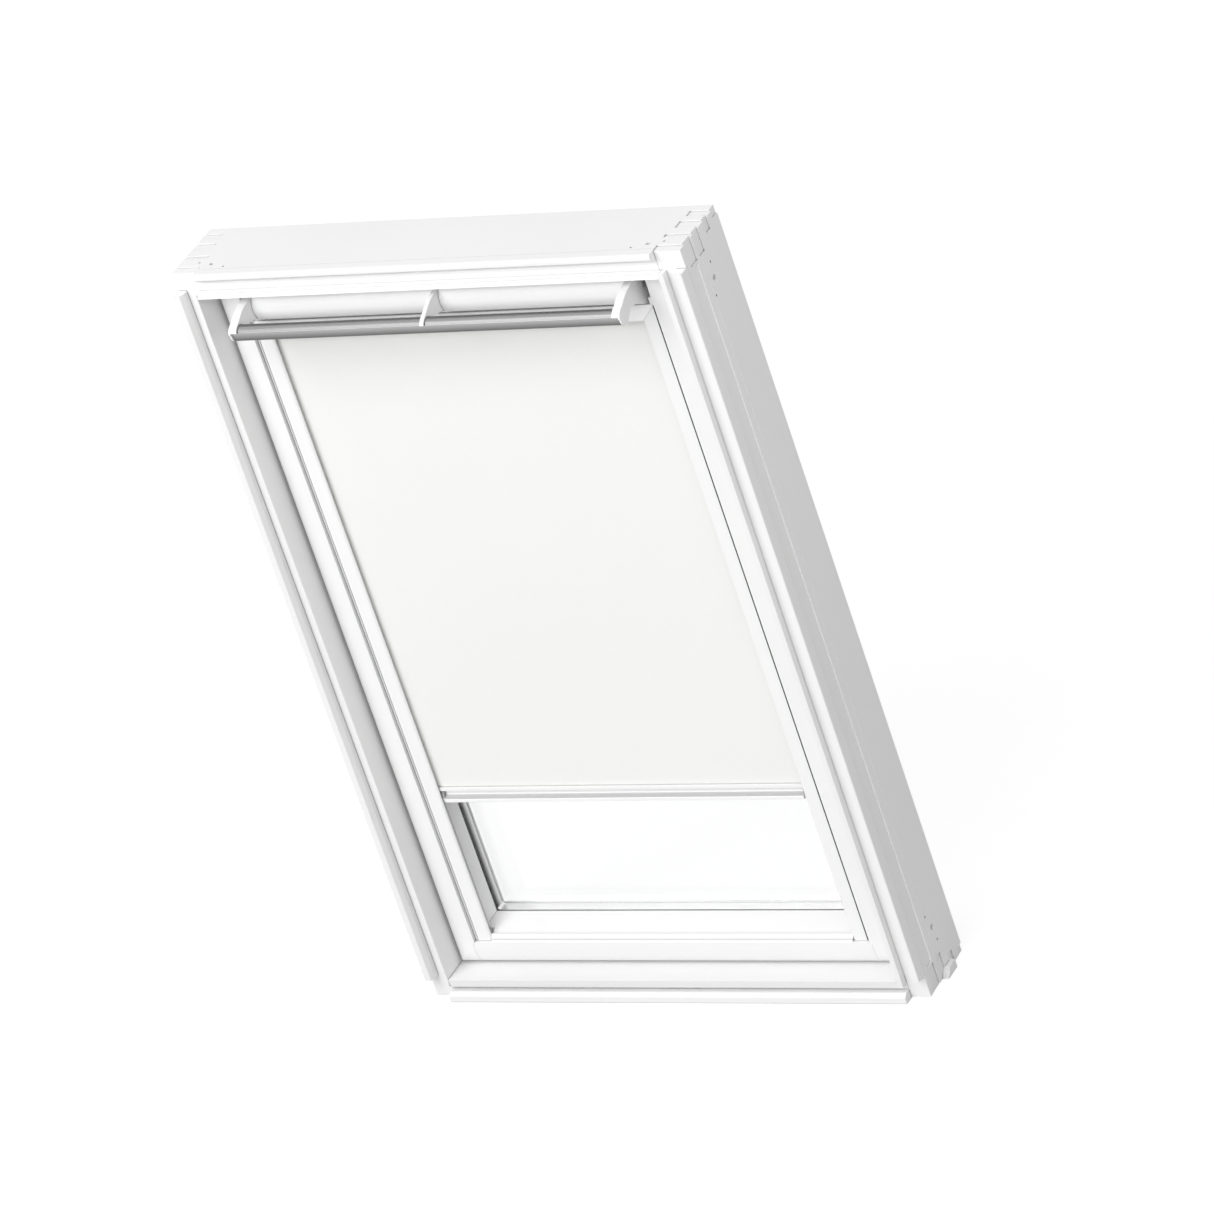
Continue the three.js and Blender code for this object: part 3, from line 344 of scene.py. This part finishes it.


# Painted reflections: tones up the control bar that stand for what its facets reflect
BAR_PAINTED_REFLECTIONS = [
    (0.0, 0.09), (0.12, 0.13), (0.42, 0.3), (0.68, 0.45), (0.695, 0.24), (0.72, 0.24),
    (0.735, 0.13), (0.82, 0.17), (0.9, 0.32), (0.96, 0.36), (1.0, 0.25),
]
# Painted shade: the bead darker along its lower edge, where a shadow line falls, and a little
# darker at its top.
BEAD_PAINTED_SHADE = [(0.0, 0.6), (0.14, 0.68), (0.22, 1.0), (0.86, 1.0), (1.0, 0.9)]
SPACER_SEALANT_AND_SHADE = [
    (0.0, 0.006), (0.12, 0.012), (0.3, 0.12), (0.5, 0.45), (0.8, 0.9), (0.95, 0.95), (1.0, 0.5),
]
SPACER_SPAN = (FRONT + 83 * MM, FRONT + 99 * MM)

WHITE = 0.86
paints = {axis: white_paint(f"paint_{axis}", WHITE, axis) for axis in "XZ"}
# Brighter paint without corner shade: painted light in the jambs' side grooves and on the stiles'
# splays.
paint_painted_light = white_paint("paint_painted_light", 0.94, "Z", nook=1.0)
plastic = white_plastic("plastic_white", WHITE)
plastic_flush = white_plastic("plastic_flush", 0.87, nook=0.75)
# Brighter white for the casing: painted light on a front that sits in the shade of the brackets
# and bar.
plastic_casing_lit = white_plastic("plastic_casing_lit", 0.95, nook=0.8)
plastic_bead = white_plastic("plastic_bead", WHITE, bands=bands_up("bottom_bead", BEAD_PAINTED_SHADE))
# Wider reach: deeper painted shade in the bar's cove under its top flange.
bar_white = white_plastic("lacquer_white", 0.88, rough=0.3, nook=0.35, reach=6 * MM)
aluminium = brushed("aluminium", 1.0, 0.28, bands=bands_up("control_bar", BAR_PAINTED_REFLECTIONS))
zinc = brushed("zinc", 0.5, 0.4, "Z")
spacer_metal = brushed("spacer_metal", 0.85, 0.3)
spacer_side_shaded = spacer_edge("spacer_side_shaded", ("Y", *SPACER_SPAN, SPACER_SEALANT_AND_SHADE))
# Near-black on the channels' outer groove walls: painted shade standing for the dark of a deep
# gap.
groove_shade = rubber("groove_painted_shade", 0.012)
# Grey on the upward faces of the bar's cove shelf: painted shade under its top flange.
bar_shelf_shade = white_plastic("bar_shelf_shade", 0.5, rough=0.4)
pale_rubber = rubber("rubber_pale", 0.7)
grey_rubber = rubber("rubber_grey", 0.9)
pivot_grey = rubber("rubber_pivot", 0.17)
plastic_grey = white_plastic("plastic_grey", 0.32, rough=0.4)
cover = coated_sheet("cover_grey", 0.11)
black = rubber("rubber_black", 0.02)
filter_foam = foam("filter_foam", 0.12)
glass = clear_glass("glass")
cloth = woven("blind_cloth", (0.86, 0.864, 0.843, 1.0), (0.872, 0.876, 0.856, 1.0))

OWN_LOOKS = {
    "blind_casing": plastic_casing_lit,
    "side_channel_left": plastic_flush,
    "side_channel_right": plastic_flush,
    "glazing_spacer": spacer_metal,
    "inner_gasket": pale_rubber,
    "outer_gasket": grey_rubber,
    "bottom_bead": plastic_bead,
    "flap_pivot_left": pivot_grey,
    "flap_pivot_right": pivot_grey,
}
SLOT_LOOKS = {
    "grey_plastic": plastic_grey,
    "white_plastic": plastic,
    "white_metal": bar_white,
    "aluminium": aluminium,
    "steel": zinc,
    "cover_grey": cover,
    "black_rubber": black,
    "glass": glass,
    "blind_fabric": cloth,
    "filter_foam": filter_foam,
}
UPRIGHT = ("jamb", "lip_left", "lip_right", "stile")


def look_for(name, slot):
    if slot == "white_paint":
        return paints["Z" if any(word in name for word in UPRIGHT) else "X"]
    return OWN_LOOKS.get(name) or SLOT_LOOKS[slot]


slots = {entry["node"]: entry["material_slot"] for entry in record["subparts"]}
body_of = {n: body for body, names in record["behaviour"]["bodies"].items() for n in names}
for name, obj in nodes.items():
    obj.data.materials.clear()
    obj.data.materials.append(look_for(name, slots[name]))

SAME_POINT = 1e-6
FLAT_ANGLE = math.radians(1.0)
EASED_ANGLE = math.radians(25.0)
SMOOTH_ANGLE = math.radians(32.0)


def settle(piece):
    """Works the modifiers into the piece's own mesh."""
    graph = bpy.context.evaluated_depsgraph_get()
    final = bpy.data.meshes.new_from_object(piece.evaluated_get(graph))
    final.name = piece.name
    piece.modifiers.clear()
    piece.data = final


def refine(node, width):
    """The node's form with its flats joined up, its edges eased and its curves shaded smooth."""
    mesh = nodes[node].data.copy()
    mesh.name = f"{node}_refined"
    bm = bmesh.new()
    bm.from_mesh(mesh)
    bmesh.ops.remove_doubles(bm, verts=bm.verts, dist=SAME_POINT)
    bmesh.ops.dissolve_limit(bm, angle_limit=FLAT_ANGLE, verts=bm.verts, edges=bm.edges)
    bm.to_mesh(mesh)
    bm.free()
    piece = add_object(f"{node}_refined", mesh)
    bevel = piece.modifiers.new("ease", "BEVEL")
    bevel.width = width
    bevel.segments = 2
    bevel.limit_method = "ANGLE"
    bevel.angle_limit = EASED_ANGLE
    bevel.use_clamp_overlap = True
    settle(piece)
    piece.data.shade_smooth()
    piece.data.set_sharp_from_angle(angle=SMOOTH_ANGLE)
    weighted = piece.modifiers.new("flats", "WEIGHTED_NORMAL")
    weighted.keep_sharp = True
    weighted.weight = 50
    settle(piece)
    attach(piece, body_of[node])
    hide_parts(node)


EASED = {
    0.12: [
        "frame_left_jamb", "frame_right_jamb", "frame_head", "frame_sill", "lip_left",
        "lip_right", "lip_head", "lip_sill", "sash_left_stile", "sash_right_stile",
        "sash_bottom_rail", "side_channel_left", "side_channel_right", "blind_casing",
        "blind_bar",
    ],
    0.35: [
        "vent_flap_left", "vent_flap_right", "bracket_left", "bracket_middle", "bracket_right",
        "control_bar", "blind_fixing_left", "blind_fixing_right", "bar_end_left",
        "bar_end_right", "flap_pivot_left", "flap_pivot_right",
    ],
    0.2: [
        "casing_end_left", "casing_end_right", "bottom_bead", "roller_tube", "glazing_spacer",
    ],
}
for width, names in EASED.items():
    for name in names:
        refine(name, width * MM)


def second_look(node, look, chosen):
    """Gives the faces that chosen picks another material."""
    mesh = bpy.data.objects[f"{node}_refined"].data
    mesh.materials.append(look)
    for face in mesh.polygons:
        if chosen(face.normal, face.center):
            face.material_index = 1


# Where the channels' groove walls get the near-black painted shade.
GROOVE_SHADE_PLACE = (306 * MM, 308 * MM)
GROOVE_SHADE_DEPTH = FRONT + 42 * MM
# Where the bar's cove shelf gets its painted shade.
COVE_DEPTH = FRONT + 49 * MM
COVE_HEIGHT = 320 * MM
# The jambs' side grooves and the stiles' splays take the paint with painted light.
GROOVE_PLACE = (385 * MM, 389.9 * MM)
GROOVE_DEPTH = (FRONT + 44 * MM, FRONT + 62 * MM)
SPLAY_DEPTH = FRONT + 46 * MM


def within(span, value):
    return span[0] < value < span[1]


def in_channel_groove(normal, centre):
    outward = normal.x if centre.x > 0 else -normal.x
    return outward > 0.8 and within(GROOVE_SHADE_PLACE, abs(centre.x)) and centre.y < GROOVE_SHADE_DEPTH


def on_cove_shelf(normal, centre):
    return normal.z > 0.6 and centre.y < COVE_DEPTH and centre.z < COVE_HEIGHT


def in_side_groove(_normal, centre):
    return within(GROOVE_DEPTH, centre.y) and within(GROOVE_PLACE, abs(centre.x))


def on_splay(normal, centre):
    return abs(normal.x) > 0.7 and normal.y < -0.3 and centre.y > SPLAY_DEPTH


def on_spacer_wall(normal, _centre):
    return abs(normal.x) > 0.8


second_look("glazing_spacer", spacer_side_shaded, on_spacer_wall)
for end in ("left", "right"):
    second_look(f"side_channel_{end}", groove_shade, in_channel_groove)
    second_look(f"frame_{end}_jamb", paint_painted_light, in_side_groove)
    second_look(f"sash_{end}_stile", paint_painted_light, on_splay)
second_look("blind_bar", bar_shelf_shade, on_cove_shelf)


def blind_sheet():
    """The hanging cloth, held flat between the roller and the bar."""
    low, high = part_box("blind_fabric")
    wide, tall = high.x - low.x, high.z - low.z
    depth = (low.y + high.y) / 2
    columns = 120
    bm = bmesh.new()
    foot, top = (
        [bm.verts.new((low.x + wide * i / columns, depth, z)) for i in range(columns + 1)]
        for z in (low.z, high.z)
    )
    for i in range(columns):
        bm.faces.new((foot[i], foot[i + 1], top[i + 1], top[i]))
    mesh = bpy.data.meshes.new("blind_cloth")
    bm.to_mesh(mesh)
    bm.free()
    mesh.materials.append(cloth)
    piece = add_object("blind_cloth", mesh)
    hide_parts("blind_fabric")
    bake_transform(piece)


blind_sheet()

FLOOR_REACH = 30.0
FLOOR_DROP = 0.5 * MM
FLOOR_GLOW = 0.86
WORLD_FRONT = 0.33
WORLD_BACK = 0.82
BACKDROP = 1.0


def add_stage():
    """A wide pale floor that the camera sees as white, with the object's faint shadow on it."""
    mesh = bpy.data.meshes.new("floor")
    turns = [(-1, -1), (1, -1), (1, 1), (-1, 1)]
    corners = [(x * FLOOR_REACH, y * FLOOR_REACH, -FLOOR_DROP) for x, y in turns]
    mesh.from_pydata(corners, [], [(0, 1, 2, 3)])
    floor = add_object("floor", mesh)
    m = Nodes("floor")
    m.set(Roughness=0.9, Specular_IOR_Level=0.0, Base_Color=grey(0.42))
    glow = m.add("ShaderNodeEmission")
    glow.inputs["Color"].default_value = grey(1.0)
    glow.inputs["Strength"].default_value = FLOOR_GLOW
    faint = m.add("ShaderNodeBsdfDiffuse")
    faint.inputs["Color"].default_value = grey(0.2)
    pale = m.add("ShaderNodeAddShader")
    m.link(glow.outputs["Emission"], pale.inputs[0])
    m.link(faint.outputs["BSDF"], pale.inputs[1])
    mix = m.add("ShaderNodeMixShader")
    seen = ray_is(m.tree, "Is Camera Ray", "Is Transmission Ray", "Is Glossy Ray")
    m.link(seen, mix.inputs["Fac"])
    m.link(m.shader.outputs["BSDF"], mix.inputs[1])
    m.link(pale.outputs["Shader"], mix.inputs[2])
    m.link(mix.outputs["Shader"], m.output.inputs["Surface"])
    mesh.materials.append(m.material)


def add_world():
    """Soft light from all round, brighter from behind the window, and a white backdrop."""
    world = bpy.data.worlds.new("world")
    bpy.context.scene.world = world
    world.use_nodes = True
    tree = world.node_tree
    background = tree.nodes["Background"]
    direction = tree.nodes.new("ShaderNodeTexCoord")
    parts = tree.nodes.new("ShaderNodeSeparateXYZ")
    tree.links.new(direction.outputs["Generated"], parts.inputs["Vector"])
    around = tree.nodes.new("ShaderNodeMapRange")
    around.inputs["From Min"].default_value = -0.2
    around.inputs["From Max"].default_value = 1.0
    around.inputs["To Min"].default_value = WORLD_FRONT
    around.inputs["To Max"].default_value = WORLD_BACK
    tree.links.new(parts.outputs["Y"], around.inputs["Value"])
    level = tree.nodes.new("ShaderNodeMapRange")
    level.inputs["To Max"].default_value = BACKDROP
    tree.links.new(around.outputs["Result"], level.inputs["To Min"])
    seen = ray_is(tree, "Is Camera Ray", "Is Transmission Ray", "Is Glossy Ray")
    tree.links.new(seen, level.inputs["Value"])
    tree.links.new(level.outputs["Result"], background.inputs["Strength"])
    background.inputs["Color"].default_value = grey(1.0)


def aim(lamp, direction):
    """Turns a lamp so that it shines against the direction given."""
    lamp.rotation_euler = Vector(direction).to_track_quat("Z", "Y").to_euler()


def sun(name, towards, power, spread):
    """A broad soft lamp; towards is the direction from the object to the lamp."""
    data = bpy.data.lights.new(name, "SUN")
    data.energy = power
    data.angle = math.radians(spread)
    aim(add_object(name, data), towards)


def panel(name, place, target, power, size):
    """A square soft box."""
    data = bpy.data.lights.new(name, "AREA")
    data.energy = power
    data.size = size
    lamp = add_object(name, data)
    lamp.location = place
    aim(lamp, Vector(place) - Vector(target))


add_stage()
add_world()
sun("key", towards=(-0.08, -0.82, 0.57), power=2.06, spread=66)
panel("front", place=(-0.8, -1.6, 2.4), target=(0.0, 0.0, 0.7), power=14.0, size=1.4)
panel("side", place=(1.9, -0.7, 1.7), target=(0.1, 0.0, 0.8), power=7.5, size=1.2)
